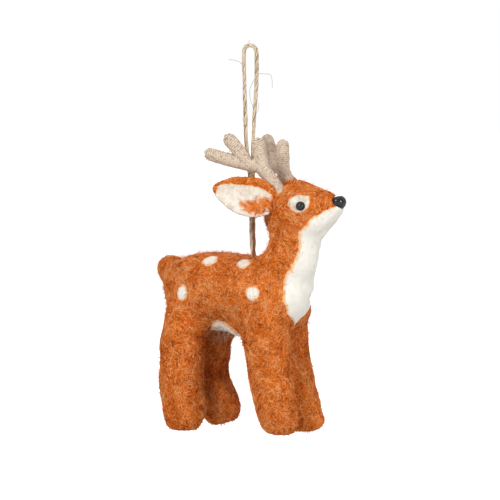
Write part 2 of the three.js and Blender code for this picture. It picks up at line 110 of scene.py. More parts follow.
# The twine's route in millimetres from the back: up the right strand, over the hook and down the left.
TWINE_ROUTE = (
    (0, -0.95, 0), (-0.4, -0.95, 12), (-0.5, -0.95, 24), (-1.2, -0.95, 36), (-2.5, -0.95, 46),
    (-3.1, -0.85, 52), (-3.3, -0.6, 58.5), (-3.75, -0.35, 65), (-4.05, -0.15, 72), (-4.4, 0, 79),
    (-4.5, 0, 82.6), (-4.45, 0, 85.95), (-4.04, 0, 87.48), (-2.93, 0, 88.59), (-1.4, 0, 89),
    (0.13, 0, 88.59), (1.24, 0, 87.48), (1.65, 0, 85.95), (1.75, 0, 82.6), (1.7, 0, 79),
    (1.45, 0.15, 72), (0.85, 0.35, 65), (0.15, 0.6, 58.5), (-0.3, 0.85, 52), (-0.7, 0.95, 46),
    (-0.6, 0.95, 36), (-0.4, 0.95, 24), (-0.3, 0.95, 12), (0, 0.95, 0),
)

# Stray fibres of the twine in millimetres from the back, sideways and up as seen from the deer's right.
TWINE_HAIRS = (
    ((1.6, 77.1), (6.4, 77.1), (8.6, 76.6), (9.2, 74), (9.3, 71.4)),
    ((-4.4, 79.6), (-5.4, 81), (-7, 82), (-9.4, 82.6), (-11.9, 82.7)),
    ((-2.2, 88.8), (-2, 90.4), (-1.7, 91.3)),
    ((1.5, 76), (0.5, 74.6), (-1.4, 71), (-1.6, 67.6), (-0.4, 63.9), (0.6, 62)),
    ((0.7, 60), (1.6, 60.8), (2.6, 62.6), (2.8, 64.8)),
    ((-3.4, 55.2), (-4.6, 56.6), (-5, 58.4)),
)

# The right antler's spines in millimetres from the origin, each with how much thicker its root is wound.
ANTLER_SPINES = (
    (
        ((18.21, -5.76, -63.61), (11.13, -9.92, -51.53), (5.89, -12.6, -50.03), (-9.39, -21.68, -44.69)),
        0.16,
    ),
    (((5.89, -12.6, -50.03), (2.46, -15.02, -43.47), (-1.48, -17.14, -37.82)), 0.02),
    (((11.13, -9.92, -51.53), (10.8, -10.75, -45.4), (9.9, -12.1, -38.9)), 0.1),
)

# Height and half width of the bib's outline, in millimetres from the back.
BIB_HEIGHTS = (-28, -22.8, -16.5, -11.3, -5, 1, 7, 12, 17, 20, 22.6, 23.8)
BIB_WIDTHS = (0, 8.4, 11, 10.2, 9, 8, 7.4, 8.4, 8, 6.4, 3.8, 0)

# Where the needle pressed or built up the felt, in millimetres: a place from the back, a reach and a push.
PRESSES = (
    (-22.3, 0, 1.5, 13, 0, 0, -1.2), (-33, 0, -1.7, 8, 0, 0, -2.0), (-40, -8, -15, 9, 1.9, 0, 0),
    (-41, -9, -28, 12, 5.2, 0, 0), (-40.3, -10, -54, 13, -1.9, 0, 0), (-40, -10, -71, 7, -0.9, 0, -0.5),
    (-19.5, -10, -70, 8, 1.0, 0, -0.4), (-17, 11, -34, 7, 0.9, 0, 0), (-15, 10, -49, 10, -3.6, 0, 0),
    (-12.5, 11, -57, 9, -1.6, 0, 0), (-13, 11, -66, 9, 0.8, 0, 0), (1.8, -9, -36.4, 9, -1.0, 0, 0),
    (-2, -9, -31, 9, -2.6, 0, -2.2), (14, -9, -73, 9, 0, 0, 0.6), (22.4, 7, -38, 11, -4.9, 0, 0),
    (26, 9, -53, 9, -1.2, 0, 0), (30.5, 9, -69, 9, 3.3, 0, -0.6), (22, 9, -23.7, 8, 3.0, 0, 0),
    (7, -3, 6, 10, 3.4, 0, -1.2), (5.3, 0, 13, 8, -1.7, 0, 0), (40.7, 0, 17.9, 6, -0.6, 0, 0.3),
    (36.4, 0, 12.9, 6, -0.6, 0, 0.5), (31, 0, 6, 8, 1.6, 0, 0), (28.5, 0, -4, 9, 2.0, 0, 0),
    (25, 5, -10, 7, 1.3, 0.5, 0), (25.3, 7, -19, 8, -2.2, -0.8, 0), (-0.9, 0, 0.6, 5, 0, 0, -2.2),
    (-18, 14, -51, 9, -2.2, 0, 0), (-18.7, 13, -31, 8, 3.2, 0, 0), (-19.3, -6, -27, 8, 3.6, 0, 0),
    (-20.9, -6, -63, 8, 2.0, 0, 0),
)
ANTLER_PRESSES = {
    "right": ((-6, -18, 42, 13, -0.3, 0, -0.4), (-2.7, -17.1, 51.9, 8, -0.7, 0, 0.3)),
    "left": ((6, 12, 43, 40, -1.4, 0, -1.9),),
}
EAR_PRESSES = {
    "right": ((-4, -20, 29.5, 14, -0.8, 0, 0.6),),
    "left": ((2.6, 14, 33.8, 9, 0, 0, -2.5),),
}

# Each lamp's way round from the camera and its height in degrees, distance and size in metres, and watts.
LAMPS = {
    "key": (-34, 28, 0.9, 0.3, 5.1),
    "front": (50, 15, 0.9, 0.3, 3.6),
    "top": (10, 80, 0.9, 0.6, 1.0),
    "back": (185, 30, 0.9, 0.5, 4.6),
}


class Coat(NamedTuple):
    """A coat of fibres that lies on wool or stands out of it."""

    tones: tuple  # names of colours
    slot: str
    density: float  # fibres on a square millimetre
    reach: tuple  # shortest and longest, in millimetres
    thickness: float  # share of a full fibre's thickness
    seed: int  # added to the stage's seed
    hug: float = 0.94  # how closely fibres follow the surface, 0 for fibres that stand up
    tilt: tuple = (0.0, 0.0)  # least and greatest angle out of the surface, in radians
    curl: float = 2.0  # how far fibres sway, in millimetres
    lift: float = 0.0  # start above the surface, in millimetres
    share: str = ""  # the host's attribute that thins the coat out
    steps: int = 5  # points along a fibre


BODY_TONES = ("rust", "rust", "orange", "orange", "orange", "amber", "amber", "peach", "peach")
RIM_TONES = ("orange", "amber", "honey")
CREAM_TONES = ("ecru", "cream", "cream")
YARN_TONES = ("fawn", "beige", "beige", "beige")
UPRIGHT = {"hug": 0.0, "tilt": (0.35, 1.35), "curl": 2.4, "lift": -0.1, "share": "orange_share"}
LAID_RIM = {"lift": 0.05, "share": "rim"}

COATS = {
    "body_fibres": Coat(
        BODY_TONES, "orange_wool", 0.37, (1.6, 4.5), 0.95, 0, hug=0.96, share="orange_share"
    ),
    "body_hairs": Coat(
        ("amber", "peach", "peach"), "orange_wool", 0.26, (4.2, 8.4), 0.65, 45,
        hug=0.93, curl=3.6, lift=0.1, share="orange_share", steps=6,
    ),
    "body_strays": Coat(BODY_TONES, "orange_wool", 0.42, (0.65, 2.6), 0.75, 50, steps=4, **UPRIGHT),
    "white_fibres": Coat(("cream", "white", "white", "white"), "white_wool", 0.35, (1.5, 3.6), 0.7, 60),
    "throat_bib_rim_fibres": Coat(RIM_TONES, "orange_wool", 1.0, (0.8, 2.2), 0.6, 62, hug=0.9, **LAID_RIM),
    "belly_curls": Coat(
        ("fawn", "fawn", "ecru"), "white_wool", 0.14, (5, 10), 0.8, 65,
        hug=0.0, tilt=(0.2, 1.0), curl=10.4, steps=9,
    ),
    "patch_fibres": Coat(CREAM_TONES, "white_wool", 1.1, (1.2, 3.2), 0.6, 68, hug=0.55),
    "patch_rim_fibres": Coat(RIM_TONES, "orange_wool", 1.3, (0.8, 2.0), 0.5, 69, hug=0.8, **LAID_RIM),
    "ear_fibres": Coat(BODY_TONES, "orange_wool", 0.8, (1.5, 4), 0.9, 70, hug=0.95, share="orange_share"),
    "ear_strays": Coat(BODY_TONES, "orange_wool", 0.7, (0.6, 2.08), 0.6, 75, **UPRIGHT),
    "ear_lining_fibres": Coat(CREAM_TONES, "white_wool", 0.4, (1.2, 3), 0.6, 80),
    "ear_lining_rim_fibres": Coat(RIM_TONES, "orange_wool", 0.7, (0.7, 2), 0.5, 85, hug=0.9, **LAID_RIM),
    "ear_tuft_wool": Coat(
        ("rust", "amber", "amber", "honey"), "orange_wool", 4.5, (1.2, 3), 0.8, 90,
        hug=0.88, curl=2.4, lift=0.1, share="tuft",
    ),
    "antler_fibres": Coat(
        YARN_TONES, "antler_wool", 0.45, (0.8, 2.2), 0.5, 100, hug=0.8, lift=0.05, steps=4
    ),
    "antler_fuzz": Coat(
        YARN_TONES, "antler_wool", 0.4, (0.6, 1.6), 0.45, 105, hug=0.0, tilt=(0.2, 1.2), curl=2.4, steps=4
    ),
}


def srgb(red, green, blue):
    """The linear colour of three screen values from 0 to 255."""
    def linear(value):
        share = value / 255
        return share / 12.92 if share <= 0.04045 else ((share + 0.055) / 1.055) ** 2.4

    return tuple(linear(value) for value in (red, green, blue))


def colour(name, description, *screen):
    return FloatVectorProperty(
        name=name, description=description, subtype="COLOR", size=3, min=0, max=1, default=srgb(*screen)
    )


def length(name, description, default):
    return FloatProperty(
        name=name, description=description, default=default * MM, unit="LENGTH", precision=5
    )


def bearing(name, description, degrees):
    return FloatProperty(name=name, description=description, default=radians(degrees), subtype="ANGLE")


class DeerSizes(bpy.types.PropertyGroup):
    """Sizes of the wool, the yarn and the twine."""

    felt_grain: length("Felt grain", "Edge of the faces of the felted body", 0.8)
    felt_swell: length("Felt swell", "How far the wool stands out of the solids", 0.55)
    patch_rise: length("Patch rise", "How far white wool stands out of the orange", 0.4)
    patch_backing: length("Patch backing", "Thickness of a patch of white wool", 0.7)
    fibre_thickness: length("Fibre thickness", "Thickness of a wool fibre", 0.22)
    antler_thickness: length("Antler thickness", "Thickness of a wound tine", 5.6)
    yarn_thickness: length("Yarn thickness", "Thickness of the yarn on the antlers", 0.92)
    yarn_pitch: length("Yarn pitch", "Distance between turns of the yarn", 0.8)
    twine_thickness: length("Twine thickness", "Thickness of the two-ply twine", 1.6)
    twist_pitch: length("Twist pitch", "Length of a full turn of the twine's plies", 11.5)
    strand_thickness: length("Strand thickness", "Thickness of a coarse fibre on the twine", 0.27)
    hair_thickness: length("Hair thickness", "Thickness of a stray fibre of the twine", 0.16)
    eye_diameter: length("Eye diameter", "Diameter of an eye bead", 4)
    nose_width: length("Nose width", "Width of the nose bead", 7.1)
    nose_height: length("Nose height", "Height of the nose bead", 6.2)


class DeerColours(bpy.types.PropertyGroup):
    """Colours of the wool, the yarn, the beads and the twine."""

    orange: colour("Orange", "Main tone of the body's wool", 207, 100, 29)
    rust: colour("Rust", "Dark tone of the body's wool", 124, 41, 9)
    amber: colour("Amber", "Bright tone of the body's wool", 230, 127, 44)
    peach: colour("Peach", "Pale fibres in the body's wool", 242, 186, 124)
    honey: colour("Honey", "Orange wool thinned out over white", 236, 172, 92)
    white: colour("White", "White wool", 241, 238, 229)
    cream: colour("Cream", "Shaded tone of the white wool", 234, 225, 211)
    ecru: colour("Ecru", "Darkest tone of the white wool", 208, 194, 175)
    beige: colour("Beige", "Main tone of the antlers' yarn", 221, 203, 183)
    fawn: colour("Fawn", "Dark fibres in the antlers' yarn", 170, 142, 118)
    bead: colour("Bead", "Eyes and nose", 9, 9, 10)
    straw: colour("Straw", "Pale tone of the twine", 228, 212, 188)
    hemp: colour("Hemp", "Dark tone of the twine", 158, 128, 97)
    steel: colour("Steel", "Wire in the antlers", 150, 152, 156)


class DeerStage(bpy.types.PropertyGroup):
    """The camera and the room."""

    azimuth: bearing("Azimuth", "Camera's way round", 30)
    elevation: bearing("Elevation", "Camera's height", 4)
    field: length("Field", "Width that the camera sees at the deer", 210)
    shift_right: length("Shift right", "What the camera looks at, right of the back", -1.3)
    shift_up: length("Shift up", "What the camera looks at, above the back", 3.0)
    lens: FloatProperty(name="Lens", description="Focal length", default=400, unit="CAMERA")
    ambient: FloatProperty(name="Ambient", description="Strength of the room's soft light", default=0.24)
    floor_drop: length("Floor drop", "Floor below the soles", 38)
    seed: IntProperty(name="Seed", description="Start of all random draws", default=7)


def sizes():
    return bpy.context.scene.deer_sizes


def stage():
    return bpy.context.scene.deer_stage


def tone(name, share=1.0):
    """One of the colours, or a share of it."""
    return tuple(value * share for value in getattr(bpy.context.scene.deer_colours, name))


def clamp(value):
    return min(1.0, max(0.0, value))


# Meshes


def link(thing):
    bpy.context.scene.collection.objects.link(thing)
    return thing


def piece_from(name, bm):
    """A new piece at the origin that holds a bmesh."""
    mesh = bpy.data.meshes.new(name)
    bm.to_mesh(mesh)
    bm.free()
    return link(bpy.data.objects.new(name, mesh))


def bmesh_of(mesh):
    bm = bmesh.new()
    bm.from_mesh(mesh)
    bm.normal_update()
    return bm


def put_back(bm, piece):
    """Gives a piece the bmesh that was made from it."""
    bm.to_mesh(piece.data)
    bm.free()


def settled_mesh(thing):
    """A mesh of what a curve or a piece's modifiers come to."""
    mesh = bpy.data.meshes.new_from_object(thing.evaluated_get(bpy.context.evaluated_depsgraph_get()))
    mesh.name = thing.name
    return mesh


def settle(piece, name, kind, **settings):
    """Puts a modifier on a piece and applies it to its mesh."""
    modifier = piece.modifiers.new(name, kind)
    for key, value in settings.items():
        setattr(modifier, key, value)
    mesh = settled_mesh(piece)
    piece.modifiers.clear()
    piece.data = mesh


def give(piece, name, values):
    """Gives a piece's corners a number each."""
    piece.data.attributes.new(name, "FLOAT", "POINT").data.foreach_set("value", values)


def merged_copies(nodes, swell):
    """Copies of some solids in one bmesh, each swollen so that neighbours meet."""
    bm = bmesh.new()
    for node in nodes:
        bm.from_mesh(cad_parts[node].data)
    bmesh.ops.remove_doubles(bm, verts=bm.verts, dist=1e-6)
    bm.normal_update()
    for vert in bm.verts:
        vert.co += vert.normal * swell
    return bm


def outer_shell(bm):
    """Removes every loose shell but the one with the most corners."""
    left, shells = set(bm.verts), []
    while left:
        shell = {left.pop()}
        ring = shell
        while ring:
            ring = {edge.other_vert(vert) for vert in ring for edge in vert.link_edges} & left
            left -= ring
            shell = shell | ring
        shells.append(shell)
    largest = max(shells, key=len)
    bmesh.ops.delete(bm, geom=[vert for vert in bm.verts if vert not in largest], context="VERTS")


def numbers(items, key, size, kind):
    """One row of numbers for each corner or edge of a mesh."""
    values = np.empty(len(items) * size, dtype=kind)
    items.foreach_get(key, values)
    return values.reshape(-1, size)


def fill_hollows(piece, rounds, eagerness=0.9):
    """Rounds out creases with wool: a corner moves only outwards, towards the middle of its neighbours."""
    mesh = piece.data
    count = len(mesh.vertices)
    first, second = numbers(mesh.edges, "vertices", 2, np.int32).T
    links = (np.bincount(first, minlength=count) + np.bincount(second, minlength=count))[:, None]
    for _ in range(rounds):
        here = numbers(mesh.vertices, "co", 3, np.float32)
        normal = numbers(mesh.vertices, "normal", 3, np.float32)
        middle = np.zeros((count, 3))
        for axis in range(3):
            middle[:, axis] = np.bincount(first, here[second, axis], count)
            middle[:, axis] += np.bincount(second, here[first, axis], count)
        push = ((middle / links - here) * normal).sum(1, keepdims=True)
        moved = here + normal * np.maximum(push, 0) * eagerness
        mesh.vertices.foreach_set("co", moved.astype(np.float32).ravel())
        mesh.update()


def press(piece, presses):
    """Presses or builds up a form at some places, each push fading out over its reach."""
    for vert in piece.data.vertices:
        spot = (vert.co - BACK) / MM
        for x, y, z, reach, *push in presses:
            away = (spot - Vector((x, y, z))).length / reach
            if away < 1:
                vert.co += mm(*push) * (1 - away * away) ** 2


def roughen(piece, layers):
    """Pushes a surface in and out by layers of noise, each (size, height), in millimetres."""
    bm = bmesh_of(piece.data)
    for vert in bm.verts:
        push = sum(high * noise.noise(vert.co / (size * MM)) for size, high in layers)
        vert.co += vert.normal * push * MM
    put_back(bm, piece)
    piece.data.shade_smooth()


def felted(name, nodes, look, grain, swell, rounds, presses, layers, fill=0, soften=0):
    """One felted form around some solids. Voxels are rounded, only their outer shell stays, and it is
    filled, pressed, softened and roughened. rounds, fill and soften say how often each is done."""
    piece = piece_from(name, merged_copies(nodes, swell))
    settle(piece, "voxels", "REMESH", mode="VOXEL", voxel_size=grain)
    settle(piece, "rounding", "SMOOTH", iterations=rounds)
    bm = bmesh_of(piece.data)
    outer_shell(bm)
    put_back(bm, piece)
    fill_hollows(piece, fill)
    press(piece, presses)
    if soften:
        settle(piece, "softening", "SMOOTH", iterations=soften)
    roughen(piece, layers)
    dress(piece, look, *nodes)
    return piece


def bend(before, start, end, after, share):
    """A point between start and end on the smooth curve through four points."""
    return 0.5 * (
        2 * start
        + (end - before) * share
        + (2 * before - 5 * start + 4 * end - after) * share**2
        + (3 * start - before - 3 * end + after) * share**3
    )


def smooth_line(points, step, parts=24):
    """Even points on a smooth curve through the given ones."""
    ends = [points[0] * 2 - points[1], *points, points[-1] * 2 - points[-2]]
    fours = zip(ends, ends[1:], ends[2:], ends[3:])
    fine = [bend(*four, k / parts) for four in fours for k in range(parts)]
    fine.append(points[-1])
    spans = [(after - before).length for before, after in zip(fine, fine[1:])]
    total = sum(spans)
    count = max(2, round(total / step))
    line, walked, k = [fine[0]], 0.0, 0
    for i in range(1, count):
        goal = total * i / count
        while walked + spans[k] < goal:
            walked += spans[k]
            k += 1
        line.append(fine[k].lerp(fine[k + 1], (goal - walked) / spans[k]))
    return line + [fine[-1]]


def frames_along(line):
    """For each point of a line two directions across it, turned as little as may be."""
    tangents = [(after - before).normalized() for before, after in zip(line, line[1:])]
    tangents.append(tangents[-1])
    across = tangents[0].orthogonal().normalized()
    result = []
    for tangent in tangents:
        across = (across - tangent * across.dot(tangent)).normalized()
        result.append((across, tangent.cross(across)))
    return result


def spoke(directions, turned):
    """The direction that lies so far round from the first of two directions."""
    across, over = directions
    return across * cos(turned) + over * sin(turned)


def tubes(name, lines, thickness, corners=1):
    """One piece of round tubes along some lines."""
    curve = bpy.data.curves.new(name, "CURVE")
    curve.dimensions = "3D"
    curve.bevel_depth = thickness / 2
    curve.bevel_resolution = corners
    curve.use_fill_caps = True
    for line in lines:
        spline = curve.splines.new("POLY")
        spline.points.add(len(line) - 1)
        spline.points.foreach_set("co", [value for point in line for value in (*point, 1)])
    holder = link(bpy.data.objects.new(name, curve))
    mesh = settled_mesh(holder)
    bpy.data.objects.remove(holder)
    bm = bmesh_of(mesh)
    bpy.data.meshes.remove(mesh)
    return closed_piece(name, bm)


def closed_piece(name, bm):
    """A smooth piece from a bmesh whose seams are closed and whose faces are turned outwards."""
    bmesh.ops.remove_doubles(bm, verts=bm.verts, dist=1e-7)
    bmesh.ops.recalc_face_normals(bm, faces=bm.faces)
    piece = piece_from(name, bm)
    piece.data.shade_smooth()
    return piece


def dress(piece, look, *nodes):
    """Gives a piece of the deer its finish, its body and the solids it stands for."""
    piece.data.materials.clear()
    piece.data.materials.append(material(look))
    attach(piece, BODY)
    if nodes:
        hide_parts(*nodes)


# Materials


class Nodes:
    """A node tree and short ways to add nodes to it. A kind of its own family has a short name."""

    family = "ShaderNode"

    def __init__(self, tree):
        self.tree = tree

    def feed(self, socket, value):
        """Links a socket to another one, or gives it a plain value."""
        if isinstance(value, bpy.types.NodeSocket):
            self.tree.links.new(value, socket)
        else:
            socket.default_value = value

    def add(self, kind, inputs=None, **settings):
        node = self.tree.nodes.new(kind if "Node" in kind else self.family + kind)
        for key, value in settings.items():
            setattr(node, key, value)
        for socket, value in (inputs or {}).items():
            self.feed(node.inputs[socket], value)
        return node

    def out(self, kind, inputs=None, output=0, **settings):
        """One output of a new node."""
        return self.add(kind, inputs, **settings).outputs[output]

    def math(self, operation, first, second=0.0):
        return self.out("ShaderNodeMath", {0: first, 1: second}, operation=operation)


class Finish(Nodes):
    """A material under construction: a principled shader and the noise, ramps and mixes that colour it."""

    def __init__(self, name, **values):
        self.material = bpy.data.materials.new(name)
        self.material.use_nodes = True
        super().__init__(self.material.node_tree)
        self.shader = self.tree.nodes["Principled BSDF"]
        self.place = self.out("TexCoord", output="Object")
        for socket, value in values.items():
            self.shader.inputs[socket.replace("_", " ")].default_value = value

    def noise(self, size, detail=4, distortion=0.0, stretch=None):
        """Cloudy noise whose features are about size millimetres across."""
        place = self.place
        if stretch:
            place = self.out("Mapping", {"Vector": place, "Scale": stretch})
        inputs = {"Vector": place, "Scale": 1 / (size * MM), "Detail": detail, "Distortion": distortion}
        return self.out("TexNoise", inputs, "Fac")

    def ramp(self, factor, *stops):
        """Colours or greys against a factor, each stop (position, value)."""
        node = self.add("ValToRGB", {"Fac": factor})
        elements = node.color_ramp.elements
        while len(elements) < len(stops):
            elements.new(0.5)
        for element, (position, value) in zip(elements, stops):
            element.position = position
            rgb = value if hasattr(value, "__len__") else (value,) * 3
            element.color = (*rgb, 1)
        return node.outputs["Color"]

    def mix(self, factor, under, over):
        """A colour laid over a socket's colours."""
        return self.out("Mix", {0: factor, 6: under, 7: (*over, 1)}, 2, data_type="RGBA")

    def attribute(self, name):
        return self.out("Attribute", output="Fac", attribute_name=name)

    def bump(self, height, depth, strength):
        inputs = {"Strength": strength, "Distance": depth * MM, "Height": height}
        self.feed(self.shader.inputs["Normal"], self.out("Bump", inputs))

    def coat(self, value):
        self.feed(self.shader.inputs["Base Color"], value)
        return self.material


def felt_finish(name, sheen, shine):
    return Finish(name, Roughness=0.95, Sheen_Weight=sheen, Sheen_Roughness=0.5, Specular_IOR_Level=shine)


def orange_wool():
    wool = felt_finish("orange_wool_finish", 0.05, 0.1)
    # The mottle's darkest stop, rust darkened to three quarters, is partly the wool's dark fibres and
    # partly painted shade in the gaps between fibres.
    mottle_and_gap_shade = wool.ramp(
        wool.noise(1.0, 6, 1.2),
        (0.34, tone("rust", 0.75)), (0.47, tone("orange")), (0.57, tone("amber")), (0.7, tone("peach")),
    )
    broad = wool.ramp(wool.noise(16, 2), (0.35, 0.0), (0.7, 0.35))
    specks = wool.ramp(wool.noise(0.7, 3, 2.0), (0.62, 0.0), (0.72, 0.6))
    wool.bump(wool.noise(0.8, 5, 1.5), 0.5, 0.7)
    return wool.coat(wool.mix(specks, wool.mix(broad, mottle_and_gap_shade, tone("amber")), tone("peach")))


def pale_wool(name, low, high, rim_start, rim_share):
    """White wool of two tones that takes up orange at its rim and under a tuft."""
    wool = felt_finish(name, 0.1, 0.1)
    shade = wool.ramp(wool.noise(2.2, 5, 0.8), (0.3, low), (0.6, high))
    frayed = wool.ramp(wool.noise(0.9, 4, 1.0), (0.3, 0.0), (0.7, 0.3))
    taken = wool.ramp(wool.math("ADD", wool.attribute("rim"), frayed), (rim_start, 0.0), (1.0, rim_share))
    tufted = wool.ramp(wool.attribute("tuft"), (0.0, 0.0), (0.45, 0.45), (1.0, 1.0))
    wool.bump(wool.noise(0.9, 5, 1.2), 0.25, 0.35)
    return wool.coat(wool.mix(tufted, wool.mix(taken, shade, tone("honey")), tone("amber")))


def white_wool():
    soft = tuple((pale + white) / 2 for pale, white in zip(tone("cream"), tone("white")))
    return pale_wool("white_wool_finish", soft, tone("white"), 0.7, 0.8)


def cream_wool():
    return pale_wool("cream_wool_finish", tone("ecru"), tone("cream"), 0.85, 0.5)


def antler_wool():
    wool = felt_finish("antler_wool_finish", 0.25, 0.2)
    wool.bump(wool.noise(0.4, 4, 1.0), 0.2, 0.5)
    return wool.coat(wool.ramp(wool.noise(1.1, 6, 1.0), (0.28, tone("fawn")), (0.5, tone("beige"))))


def jute_twine():
    jute = Finish("jute_twine_finish", Roughness=0.85, Specular_IOR_Level=0.25)
    streaks = jute.noise(0.35, 5, 0.4, stretch=(1, 1, 0.12))
    jute.bump(jute.noise(0.2, 3, 0.2, stretch=(1, 1, 0.1)), 0.15, 0.8)
    return jute.coat(jute.ramp(streaks, (0.3, tone("hemp")), (0.62, tone("straw"))))


def black_bead():
    bead = Finish("black_bead_finish", Roughness=0.05, Specular_IOR_Level=0.38)
    return bead.coat(bead.ramp(bead.noise(1.5, 2), (0.3, tone("bead")), (0.7, tone("bead", 1.5))))


def core_wire():
    wire = Finish("core_wire_finish", Metallic=1.0, Roughness=0.4)
    return wire.coat(wire.ramp(wire.noise(0.5, 3, 0.2), (0.3, tone("steel", 0.7)), (0.7, tone("steel"))))


MAKERS = {
    maker.__name__: maker
    for maker in (orange_wool, white_wool, cream_wool, antler_wool, jute_twine, black_bead, core_wire)
}


def material(name):
    return bpy.data.materials.get(f"{name}_finish") or MAKERS[name]()


def fibre_finish(name):
    """A plain finish for fibres of one tone."""
    found = bpy.data.materials.get(f"{name}_fibre")
    return found or Finish(f"{name}_fibre", Roughness=0.9, Specular_IOR_Level=0.1).coat((*tone(name), 1))


# Fibres


class FibreTree(Nodes):
    """Geometry nodes that grow a coat of fibres on a host piece."""

    family = "GeometryNode"

    def __init__(self, name, host, coat, seed):
        super().__init__(bpy.data.node_groups.new(name, "GeometryNodeTree"))
        self.tree.interface.new_socket("Geometry", in_out="OUTPUT", socket_type="NodeSocketGeometry")
        self.coat = coat
        self.seed = seed
        self.thickness = sizes().fibre_thickness * coat.thickness
        self.surface = self.out("ObjectInfo", {0: host}, 4, transform_space="ORIGINAL")
        self.here = self.out("InputPosition")
        self.along = self.out("SplineParameter")
        body = self.thicken(self.curl(self.grow()))
        self.add("NodeGroupOutput", {0: self.out("SetShadeSmooth", {0: body})})

    def random(self, low, high, seed):
        """A random value between two vectors or two numbers."""
        if hasattr(low, "__len__"):
            return self.out("FunctionNodeRandomValue", {0: low, 1: high, 8: seed}, data_type="FLOAT_VECTOR")
        return self.out("FunctionNodeRandomValue", {2: low, 3: high, 8: seed}, 1, data_type="FLOAT")

    def scale(self, vector, factor):
        return self.out("ShaderNodeVectorMath", {0: vector, 3: factor}, operation="SCALE")

    def vector(self, operation, first, second):
        return self.out("ShaderNodeVectorMath", {0: first, 1: second}, operation=operation)

    def read(self, name, kind):
        return self.out("InputNamedAttribute", {0: name}, data_type=kind)

    def store(self, geometry, name, kind, value):
        inputs = {0: geometry, 2: name, 3: value}
        return self.out("StoreNamedAttribute", inputs, data_type=kind, domain="INSTANCE")

    def grow(self, swirl_room=50):
        """Straight strands all over the host, each with a tone and a swirl of its own."""
        coat, seed = self.coat, self.seed
        density = coat.density / MM**2
        if coat.share:
            density = self.math("MULTIPLY", self.read(coat.share, "FLOAT"), density)
        spread = {0: self.surface, 4: density, 6: seed}
        points, normal, rotation = self.add("DistributePointsOnFaces", spread).outputs[:3]
        raised = self.out("SetPosition", {0: points, 3: self.scale(normal, coat.lift * MM)})
        start, end = (-0.5, 0.5) if coat.hug else (0, 1)
        line = self.out("CurvePrimitiveLine", {0: (start, 0, 0), 1: (end, 0, 0)})
        strand = self.out("ResampleCurve", {0: line, 2: coat.steps})
        least, greatest = coat.tilt
        euler = self.random((0, -greatest, 0), (0, -least, TURN), seed + 1)
        turned = {0: rotation, 1: self.out("FunctionNodeEulerToRotation", {0: euler})}
        laid = self.out("FunctionNodeRotateRotation", turned, rotation_space="LOCAL")
        reach = self.random(coat.reach[0] * MM, coat.reach[1] * MM, seed + 2)
        grown = self.out("InstanceOnPoints", {0: raised, 2: strand, 5: laid, 6: reach})
        toned = self.store(grown, "tone", "INT", self.drawn_tone())
        swirl = self.random((0, 0, 0), (swirl_room,) * 3, seed + 4)
        return self.out("RealizeInstances", {0: self.store(toned, "swirl", "FLOAT_VECTOR", swirl)})

    def drawn_tone(self, cloud_size=6, cloud_middle=0.4, cloud_weight=1.3, chance=0.75):
        """The number of a tone, drawn by chance and by clouds so many millimetres wide."""
        cloud = self.out("ShaderNodeTexNoise", {0: self.here, 2: 1 / (cloud_size * MM), 3: 2.0})
        clouded = self.math("MULTIPLY", self.math("SUBTRACT", cloud, cloud_middle), cloud_weight)
        drawn = self.math("ADD", self.random(0.0, chance, self.seed + 3), clouded)
        kept = self.math("MINIMUM", self.math("MAXIMUM", drawn, 0.0), 0.999)
        return self.math("FLOOR", self.math("MULTIPLY", kept, len(self.coat.tones)))

    def curl(self, strands, swirl_size=3.5, sunk=0.1, raised=0.45):
        """Bends the strands in swirls, and lays those that hug the host back on it."""
        coat, here = self.coat, self.here
        spread = self.scale(here, 1 / (swirl_size * MM))
        drift = self.vector("ADD", spread, self.read("swirl", "FLOAT_VECTOR"))
        waves = self.out("ShaderNodeTexNoise", {0: drift, 2: 1.0, 3: 1.0}, 1)
        sway = self.scale(self.vector("SUBTRACT", waves, (0.5, 0.5, 0.5)), coat.curl * MM)
        if not coat.hug:
            return self.out("SetPosition", {0: strands, 3: self.scale(sway, self.along)})
        curled = self.out("SetPosition", {0: strands, 3: sway})
        near = self.out("Proximity", {0: self.surface, 2: here}, target_element="FACES")
        held = self.out("ShaderNodeMix", {0: coat.hug, 4: here, 5: near}, 1, data_type="VECTOR")
        sample = {0: self.surface, 1: self.out("InputNormal"), 3: here}
        outward = self.out("SampleNearestSurface", sample, data_type="FLOAT_VECTOR")
        height = self.random(-self.thickness * sunk, self.thickness * raised, self.seed + 5)
        return self.out("SetPosition", {0: curled, 2: held, 3: self.scale(outward, height)})

    def thicken(self, strands, taper=0.6, thinnest=0.15, corners=3):
        """Fibres round the strands, thin at both ends, or at the tip where they stand up."""
        if self.coat.hug:
            swell = self.math("SINE", self.math("MULTIPLY", self.along, pi))
        else:
            swell = self.math("SUBTRACT", 1.0, self.along)
        share = self.math("MAXIMUM", self.math("POWER", swell, taper), thinnest)
        radius = self.math("MULTIPLY", share, self.thickness / 2)
        ring = self.out("CurvePrimitiveCircle", {0: corners, 4: 1.0})
        body = self.out("CurveToMesh", {0: strands, 1: ring, 2: radius, 3: True})
        return self.out("SetMaterialIndex", {0: body, 2: self.read("tone", "INT")})


def fibres(name, host, kind, seed=0):
    """Lays a coat of fibres of one kind on a host piece. seed is added to the coat's own."""
    coat = COATS[kind]
    tree = FibreTree(name, bpy.data.objects[host], coat, stage().seed + coat.seed + seed).tree
    piece = piece_from(name, bmesh.new())
    settle(piece, "fibres", "NODES", node_group=tree)
    bpy.data.node_groups.remove(tree)
    for colour_name in coat.tones:
        piece.data.materials.append(fibre_finish(colour_name))
    for attribute in ("tone", "swirl", "orange_share", "rim", "tuft", "id"):
        if attribute in piece.data.attributes:
            piece.data.attributes.remove(piece.data.attributes[attribute])
    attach(piece, BODY)


# White wool, laid over the felted body


